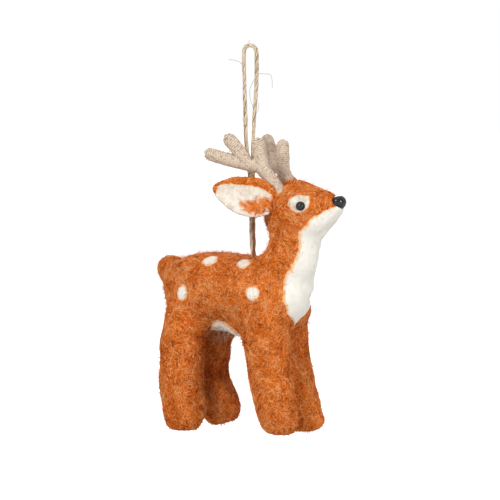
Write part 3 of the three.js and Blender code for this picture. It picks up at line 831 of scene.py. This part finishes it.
def bib_depth(place, normal, far_rise=3, rise_start=-10, rise_length=6, front=18, slope=0.8):
    """How far inside the bib a place is, in millimetres. On the far side its point ends higher."""
    spot = (place - BACK) / MM
    raised = far_rise * clamp((rise_start - spot.z) / rise_length) if spot.y > 0 else 0
    half_width = float(np.interp(spot.z - raised, BIB_HEIGHTS, BIB_WIDTHS, -1, -1))
    return min(half_width - abs(spot.y), (spot.x - front) * slope)


def belly_depth(spread=1.02, shift_back=0.2, downward=-0.1, thickness=6, outside=-5.0):
    """The oval of white wool under the trunk, on skin that faces downward."""
    low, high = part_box("belly_patch")
    reach = (high - low) / 2 / MM
    centre = (low + high) / 2

    def depth(place, normal):
        off = (place - centre) / MM
        inside = (spread - hypot((off.x + shift_back) / reach.x, off.y / reach.y)) * reach.y
        return inside if normal.z < downward and abs(off.z) < thickness else outside

    return depth


def disc_depth(node, wide, high, shift):
    """A round patch where a solid one is. wide and high are half sizes in millimetres."""
    low_corner, high_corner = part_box(node)
    centre = (low_corner + high_corner) / 2 + mm(*shift)

    def depth(place, normal):
        off = (place - centre) / MM
        return (1 - hypot(hypot(off.x, off.y) / wide, off.z / high)) * min(wide, high)

    return depth


def wool_patch(name, host, depth, node, ragged, look="white_wool", heap=0.0):
    """Wool over part of a host piece, thinning out under the host's skin at its edge. heap is how much
    thicker, in millimetres, it is in the middle."""
    rise = sizes().patch_rise
    sunk = 0.7 * rise
    # Depths in the patch, in millimetres, where each begins or ends, and widths of what fades.
    frayed_from, cut_at, covers_from, slope_from = -3, -0.9, -0.3, -0.7
    rim_width, slope_width, heap_width = 1.8, 1.5, 5
    bm = bmesh_of(host.data)
    rim = bm.verts.layers.float.new("rim")
    share = host.data.attributes["orange_share"].data
    outside = set()
    for vert in bm.verts:
        within = depth(vert.co, vert.normal)
        if within > frayed_from:
            coarse, fine = (noise.noise(vert.co / (size * MM)) for size in (2.2, 0.9))
            within += coarse * ragged + fine * ragged * 0.5
        if within < cut_at:
            outside.add(vert)
        vert[rim] = clamp(1 - within / rim_width)
        if within > covers_from:
            share[vert.index].value = 0.0
        full = clamp((within - slope_from) / slope_width)
        thick = (rise + sunk) * (full * full * (3 - 2 * full)) - sunk
        vert.co += vert.normal * (thick + heap * MM * clamp(within / heap_width) ** 0.6)
    bare = [face for face in bm.faces if outside.issuperset(face.verts)]
    bmesh.ops.delete(bm, geom=bare, context="FACES")
    piece = piece_from(name, bm)
    settle(piece, "backing", "SOLIDIFY", thickness=sizes().patch_backing, offset=-1)
    piece.data.shade_smooth()
    dress(piece, look, node)
    return piece


# Operators


def direction(azimuth, elevation):
    """The way to a place so far round from the deer's right and so high above it."""
    level = cos(elevation)
    return Vector((sin(azimuth) * level, -cos(azimuth) * level, sin(elevation)))


class DEER_OT_stage(bpy.types.Operator):
    """Set up the camera, the soft light and the pale floor"""

    bl_idname = "deer.stage"
    bl_label = "Stage"

    def execute(self, context):
        scene, view = context.scene, stage()
        scene.view_settings.view_transform = "Standard"
        toward = direction(view.azimuth, view.elevation)
        right = direction(view.azimuth + pi / 2, 0)
        target = BACK + right * view.shift_right + toward.cross(right) * view.shift_up
        camera = bpy.data.cameras.new("camera")
        camera.lens = view.lens
        camera.clip_start = 0.01
        scene.camera = self.aim(camera, target, toward, view.field * view.lens / camera.sensor_width)
        for name, (turn, rise, distance, size, power) in LAMPS.items():
            lamp = bpy.data.lights.new(name, "AREA")
            lamp.shape = "DISK"
            lamp.size = size
            lamp.energy = power
            self.aim(lamp, target, direction(view.azimuth + radians(turn), radians(rise)), distance)
        self.room(scene, view.ambient)
        self.floor(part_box("foreleg_right")[0].z - view.floor_drop)
        return {"FINISHED"}

    def aim(self, data, target, toward, distance):
        """Sets up a camera or a lamp at a distance from the target and turns it there."""
        thing = link(bpy.data.objects.new(data.name, data))
        thing.location = target + toward * distance
        thing.rotation_euler = (-toward).to_track_quat("-Z", "Y").to_euler()
        return thing

    def seen(self, nodes):
        """1 where a ray comes from the camera, a mirror or a glass."""
        path = nodes.add("LightPath").outputs
        glossy = nodes.math("MAXIMUM", path["Is Camera Ray"], path["Is Glossy Ray"])
        return nodes.math("MAXIMUM", glossy, path["Is Transmission Ray"])

    def room(self, scene, ambient):
        """A room that is white to look at and lights the wool softly."""
        world = bpy.data.worlds.new("room")
        world.use_nodes = True
        scene.world = world
        nodes = Nodes(world.node_tree)
        nodes.tree.nodes.clear()
        soft, white = (
            nodes.out("Background", {"Color": (1, 1, 1, 1), "Strength": strength})
            for strength in (ambient, 1.0)
        )
        either = nodes.out("MixShader", {0: self.seen(nodes), 1: soft, 2: white})
        nodes.add("OutputWorld", {"Surface": either})

    def floor(self, height, half_side=3):
        """A sheet of paper that darkens a little under the deer and is white further out."""
        bm = bmesh.new()
        bmesh.ops.create_grid(bm, x_segments=1, y_segments=1, size=half_side)
        bmesh.ops.translate(bm, verts=bm.verts, vec=(0, 0, height))
        floor = piece_from("floor", bm)
        paper = Finish(
            "pale_paper", Roughness=0.9, Base_Color=(0.6, 0.6, 0.6, 1), Emission_Color=(1, 1, 1, 1)
        )
        flat = paper.out("VectorMath", {0: paper.place, 1: (1, 1, 0)}, operation="MULTIPLY")
        away = paper.out("VectorMath", {0: flat}, "Value", operation="LENGTH")
        near, far, dim, full = 0.08, 0.3, 0.5, 1.0
        fade = paper.out("MapRange", {0: away, 1: near, 2: far, 3: dim, 4: full})
        paper.feed(paper.shader.inputs["Emission Strength"], paper.math("MULTIPLY", self.seen(paper), fade))
        floor.data.materials.append(paper.material)


class DEER_OT_twine(bpy.types.Operator):
    """Twist the twine of the hanging loop from two plies"""

    bl_idname = "deer.twine"
    bl_label = "Twine"

    def execute(self, context):
        thickness, ply_share = sizes().twine_thickness, 0.64
        route = [BACK + mm(*point) for point in TWINE_ROUTE]
        line = smooth_line(route, 0.5 * MM)
        frames = frames_along(line)
        twist = TURN * (line[1] - line[0]).length / sizes().twist_pitch
        plies = self.plies(line, frames, thickness, twist)
        cord = self.jute("hanging_twine", plies, thickness * ply_share, 2, material("jute_twine"))
        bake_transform(cord)
        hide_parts("hanging_loop", "twine_strand_right", "twine_strand_left")
        span = sum((after - before).length for before, after in zip(line, line[1:]))
        strands = self.strands(line, frames, thickness, twist)
        hairs = self.hairs()
        return {"FINISHED"}

    def jute(self, name, paths, thickness, corners, *finishes):
        """Tubes of twine with their finishes."""
        piece = tubes(name, paths, thickness, corners)
        for finish in finishes:
            piece.data.materials.append(finish)
        return piece

    def plies(self, line, frames, thickness, twist, apart=0.21, looseness=0.34, unevenness=1.1):
        """The ways of two plies round each other, a little loose and uneven."""
        result = []
        for start in (0, pi):
            ply = []
            for k, (point, directions) in enumerate(zip(line, frames)):
                loose = 1 + looseness * noise.noise(Vector((k * 0.07, start, 3.1)))
                uneven = unevenness * noise.noise(Vector((k * 0.04, 0, 9.4)))
                outward = spoke(directions, start + k * twist + uneven)
                ply.append(point + outward * thickness * apart * loose)
            result.append(ply)
        return result

    def strands(self, line, frames, thickness, twist, count=220):
        """Coarse fibres that follow the plies, pale and dark, spread evenly by golden shares."""
        golden_share, golden_angle = 0.6180339887, 2.399963
        shortest, longer, end_room = 14, 22, 40
        paths = []
        for k in range(count):
            start = (k * golden_share) % 1 * (len(line) - end_room)
            stop = min(len(line), int(start) + shortest + k * 7 % longer)
            phase = k * golden_angle
            radius = thickness * (0.44 + 0.05 * sin(phase * 3))
            paths.append([
                line[i] + spoke(frames[i], phase + (i - start) * twist) * radius
                for i in range(int(start), stop)
            ])
        tones = (fibre_finish(name) for name in ("straw", "hemp"))
        piece = self.jute("twine_strands", paths, sizes().strand_thickness, 0, *tones)
        faces = max(1, len(piece.data.polygons) // len(paths))
        for polygon in piece.data.polygons:
            polygon.material_index = polygon.index // faces % 3 == 0
        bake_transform(piece)
        return piece

    def hairs(self):
        """Stray fibres that stand off the loop."""
        lines = [[BACK + mm(x, 0, z) for x, z in hair] for hair in TWINE_HAIRS]
        paths = [smooth_line(line, 0.4 * MM) for line in lines]
        piece = self.jute("twine_hairs", paths, sizes().hair_thickness, 0, fibre_finish("hemp"))
        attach(piece, "loop")
        return piece


class DEER_OT_felt_body(bpy.types.Operator):
    """Felt the trunk, neck, head, tail and legs into one woollen body"""

    bl_idname = "deer.felt_body"
    bl_label = "Felted body"

    def execute(self, context):
        body = felted(
            "felt_body", BODY_NODES, "orange_wool", sizes().felt_grain, sizes().felt_swell, rounds=20,
            presses=PRESSES, layers=((13, 0.4), (4.5, 0.2), (1.7, 0.12)), fill=100, soften=12,
        )
        bare, fade = 5.2, 1.5
        from_twine = [(vert.co - BACK).length / MM for vert in body.data.vertices]
        give(body, "orange_share", [clamp((away - bare) / fade) for away in from_twine])
        return {"FINISHED"}


class DEER_OT_white_patches(bpy.types.Operator):
    """Lay the white bib, belly, eye rings and spots over the body"""

    bl_idname = "deer.white_patches"
    bl_label = "White wool"

    def execute(self, context):
        host = bpy.data.objects["felt_body"]
        wool_patch("throat_bib_wool", host, bib_depth, "throat_bib", ragged=0.5)
        wool_patch("belly_wool", host, belly_depth(), "belly_patch", ragged=0.9, heap=2.3)
        for word in SIDES:
            ring = f"eye_patch_{word}"
            depth = disc_depth(ring, *EYE_RING)
            wool_patch(f"eye_ring_{word}", host, depth, ring, ragged=0.9, look="cream_wool")
            for where, size in SPOTS.items():
                spot = f"spot_{where}_{word}"
                wool_patch(f"fawn_{spot}", host, disc_depth(spot, *size), spot, ragged=0.45)
        return {"FINISHED"}


class DEER_OT_ears(bpy.types.Operator):
    """Felt the ears, their white linings and the tufts at their roots"""

    bl_idname = "deer.ears"
    bl_label = "Ears"

    def execute(self, context):
        for word, side in SIDES.items():
            ear = felted(
                f"ear_felt_{word}", (f"ear_{word}",), "orange_wool", grain=0.45 * MM, swell=0.3 * MM,
                rounds=8, presses=EAR_PRESSES[word], layers=((3.5, 0.25), (1.3, 0.12)),
            )
            give(ear, "orange_share", [1.0] * len(ear.data.vertices))
            lining, tuft = self.regions(ear, side)
            name = f"ear_lining_wool_{word}"
            wool = wool_patch(name, ear, lining, f"ear_lining_{word}", ragged=0.35, look="cream_wool")
            give(wool, "tuft", [tuft(vert.co) for vert in wool.data.vertices])
        return {"FINISHED"}

    def regions(self, ear, side):
        """How far inside its lining a place on an ear is, in millimetres, and how thick its tuft is."""
        along = sided(EAR_ALONG, side).normalized()
        upward = sided(EAR_UPWARD, side)
        upward = (upward - along * upward.dot(along)).normalized()
        front = along.cross(upward) * side
        root = sided(EAR_ROOT, side) * MM
        rim_at_tip, wider_at_root, overlap_below, from_root, from_tip = 2.0, 1.8, 1.6, 3, 1.8

        def measured(place):
            """How far along the ear and how far up it a place is, in millimetres."""
            return (place - root).dot(along) / MM, (place - root).dot(upward) / MM

        spots = [measured(vert.co) for vert in ear.data.vertices]
        tip = max(x for x, _ in spots)
        edges = {}
        for x, y in spots:
            low, high = edges.get(round(x), (y, y))
            edges[round(x)] = (min(low, y), max(high, y))

        def lining(place, normal):
            x, y = measured(place)
            low, high = edges[round(x)]
            rim = rim_at_tip + wider_at_root * clamp((tip - 3 - x) / 8)
            inside = min(high - rim - y, y - low + overlap_below, x - from_root, tip - from_tip - x)
            facing = normal.dot(front)
            return inside if facing > 0.05 else min(inside, facing * 4 - 0.2)

        def tuft(place):
            x, y = measured(place)
            away = min(hypot((x - out) / long, (y - up) / high) for out, up, long, high in TUFT_OVALS)
            ragged = 0.35 * noise.noise(place / (1.6 * MM))
            return clamp(1.7 - away * 1.4 + ragged)

        return lining, tuft


class DEER_OT_antlers(bpy.types.Operator):
    """Wind the antlers with yarn, turn by turn"""

    bl_idname = "deer.antlers"
    bl_label = "Antlers"

    def execute(self, context):
        s = sizes()
        for word, side in SIDES.items():
            nodes = [f"antler_{part}_{word}" for part in ("beam", "upper_tine", "front_tine")]
            felted(
                f"antler_core_{word}", nodes, "antler_wool", grain=0.5 * MM, swell=-0.3 * MM, rounds=8,
                presses=ANTLER_PRESSES[word], layers=((2, 0.2), (0.8, 0.1)), fill=90,
            )
            turns = []
            for spine, swell in ANTLER_SPINES:
                points = [sided(point, -side) * MM for point in spine]
                turns.append(self.winding(points, s.antler_thickness / 2, s.yarn_pitch, swell))
            yarn = tubes(f"antler_yarn_{word}", turns, s.yarn_thickness)
            press(yarn, ANTLER_PRESSES[word])
            dress(yarn, "antler_wool")
        return {"FINISHED"}

    def winding(self, points, radius, pitch, swell, per_turn=18, sunk=0.4, unevenness=0.05, root_share=0.6):
        """A yarn's way round a spine, closing in over its rounded tip. swell is how much thicker the root
        is, which thins out over the root's share of the spine."""
        line = smooth_line(points, 0.1 * MM)
        frames = frames_along(line)
        step = (line[1] - line[0]).length
        total = step * (len(line) - 1)
        path = []
        for k in range(int(total / pitch * per_turn) + 1):
            along = k * pitch / per_turn
            index = min(len(line) - 1, int(along / step))
            to_tip = max(0.0, along - (total - radius)) / radius
            uneven = 1 + unevenness * noise.noise(line[index] / (2 * MM))
            thicker = 1 + swell * max(0, 1 - along / total / root_share)
            wide = radius * sqrt(max(0.004, 1 - to_tip**2)) * uneven * thicker
            path.append(line[index] + spoke(frames[index], TURN * k / per_turn) * (wide - sunk * MM))
        return path


class DEER_OT_beads(bpy.types.Operator):
    """Turn the black eyes and the nose, each with its post"""

    bl_idname = "deer.beads"
    bl_label = "Eyes and nose"

    def execute(self, context):
        s = sizes()
        for word, side in SIDES.items():
            eye = self.bead(f"eye_bead_{word}", s.eye_diameter / 2, sided(EYE_OUTWARD, side))
            eye.data.transform(Matrix.Translation(sided(EYE_PLACE, side) * MM))
            dress(eye, "black_bead", f"eye_{word}")
        half, top_flare = s.nose_height / 2, 0.22
        nose = self.bead("nose_bead", half, Vector((1, 0, 0)))
        for vert in nose.data.vertices:
            if vert.co.x > -half:
                vert.co.y *= s.nose_width / s.nose_height * (1 + top_flare * vert.co.z / half)
        nose.data.transform(Matrix.Translation(mm(*NOSE_PLACE)))
        dress(nose, "black_bead", "nose")
        return {"FINISHED"}

    def bead(self, name, radius, outward, post=0.6 * MM, depth=6 * MM, rings=14):
        """A ball at the origin that faces outward, with a post behind it."""
        profile = [Vector((0, 0, -depth)), Vector((post, 0, -depth))]
        first = -acos(post / radius)
        for k in range(rings):
            rise = first + (pi / 2 - first) * k / rings
            profile.append(Vector((radius * cos(rise), 0, radius * sin(rise))))
        profile.append(Vector((0, 0, radius)))
        bm = bmesh.new()
        verts = [bm.verts.new(point) for point in profile]
        edges = [bm.edges.new(pair) for pair in zip(verts, verts[1:])]
        bmesh.ops.spin(
            bm, geom=verts + edges, cent=(0, 0, 0), axis=(0, 0, 1), angle=TURN, steps=32, use_merge=True
        )
        piece = closed_piece(name, bm)
        piece.data.transform(outward.normalized().to_track_quat("Z", "Y").to_matrix().to_4x4())
        return piece


class DEER_OT_hidden(bpy.types.Operator):
    """Finish the wires in the antlers and the knot in the back"""

    bl_idname = "deer.hidden"
    bl_label = "Wires and knot"

    def execute(self, context):
        for name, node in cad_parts.items():
            if "wire" in name:
                node.material_slots[0].material = material("core_wire")
        size, depth, thickness, points = 1.9 * MM, 10 * MM, 1.45 * MM, 90
        # A loop that goes round twice and over itself three times.
        loop = []
        for k in range(points + 1):
            turned = TURN * k / points
            wide = size * (2 + cos(3 * turned)) * 0.5
            high = size * 0.5 * sin(3 * turned) - depth
            loop.append(BACK + Vector((wide * cos(2 * turned), wide * sin(2 * turned), high)))
        tails = [[BACK + mm(0, side * 0.95, z) for z in (-1.2, -4, -7, -10)] for side in (-1, 1)]
        knot = tubes("anchor_knot_twine", [loop, *tails], thickness)
        dress(knot, "jute_twine", "anchor_knot")
        return {"FINISHED"}


class DEER_OT_fibres(bpy.types.Operator):
    """Lay loose fibres over the wool"""

    bl_idname = "deer.fibres"
    bl_label = "Fibres"

    def execute(self, context):
        for k in range(4):
            fibres(f"body_fibres_{k + 1}", "felt_body", "body_fibres", 10 * k)
        fibres("body_hairs", "felt_body", "body_hairs")
        for k in range(2):
            fibres(f"body_strays_{k + 1}", "felt_body", "body_strays", 5 * k)
        for host in ("throat_bib_wool", "belly_wool"):
            fibres(f"{host}_fibres", host, "white_fibres")
        fibres("throat_bib_rim_fibres", "throat_bib_wool", "throat_bib_rim_fibres")
        fibres("belly_curls", "belly_wool", "belly_curls")
        for word in SIDES:
            for patch in ("eye_ring", *(f"fawn_spot_{where}" for where in SPOTS)):
                for kind in ("fibres", "rim_fibres"):
                    fibres(f"{patch}_{word}_{kind}", f"{patch}_{word}", f"patch_{kind}")
        for word in SIDES:
            for host, kinds in (
                ("ear_felt", ("ear_fibres", "ear_strays")),
                ("ear_lining_wool", ("ear_lining_fibres", "ear_lining_rim_fibres", "ear_tuft_wool")),
                ("antler_yarn", ("antler_fibres", "antler_fuzz")),
            ):
                for kind in kinds:
                    fibres(f"{kind}_{word}", f"{host}_{word}", kind)
            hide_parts(f"ear_tuft_{word}")
        return {"FINISHED"}


class DEER_PT_panel(bpy.types.Panel):
    """Lists the deer's pieces and values"""

    bl_label = "Felted deer"
    bl_idname = "DEER_PT_panel"
    bl_space_type = "VIEW_3D"
    bl_region_type = "UI"
    bl_category = "Felted deer"

    def draw(self, context):
        layout = self.layout
        for operator in OPERATORS:
            layout.operator(operator.bl_idname)
        for name in GROUPS:
            group = getattr(context.scene, name)
            box = layout.box()
            for key in group.__annotations__:
                box.prop(group, key)


OPERATORS = (
    DEER_OT_stage, DEER_OT_twine, DEER_OT_felt_body, DEER_OT_white_patches, DEER_OT_ears, DEER_OT_antlers,
    DEER_OT_beads, DEER_OT_hidden, DEER_OT_fibres,
)
GROUPS = {"deer_sizes": DeerSizes, "deer_colours": DeerColours, "deer_stage": DeerStage}
register_classes, unregister_classes = bpy.utils.register_classes_factory(
    (*GROUPS.values(), *OPERATORS, DEER_PT_panel)
)


def register():
    register_classes()
    for name, cls in GROUPS.items():
        setattr(bpy.types.Scene, name, PointerProperty(type=cls))


def unregister():
    for name in GROUPS:
        delattr(bpy.types.Scene, name)
    unregister_classes()


def main():
    register()
    for operator in OPERATORS:
        group, name = operator.bl_idname.split(".")
        getattr(getattr(bpy.ops, group), name)()


if __name__ == "__main__":
    main()
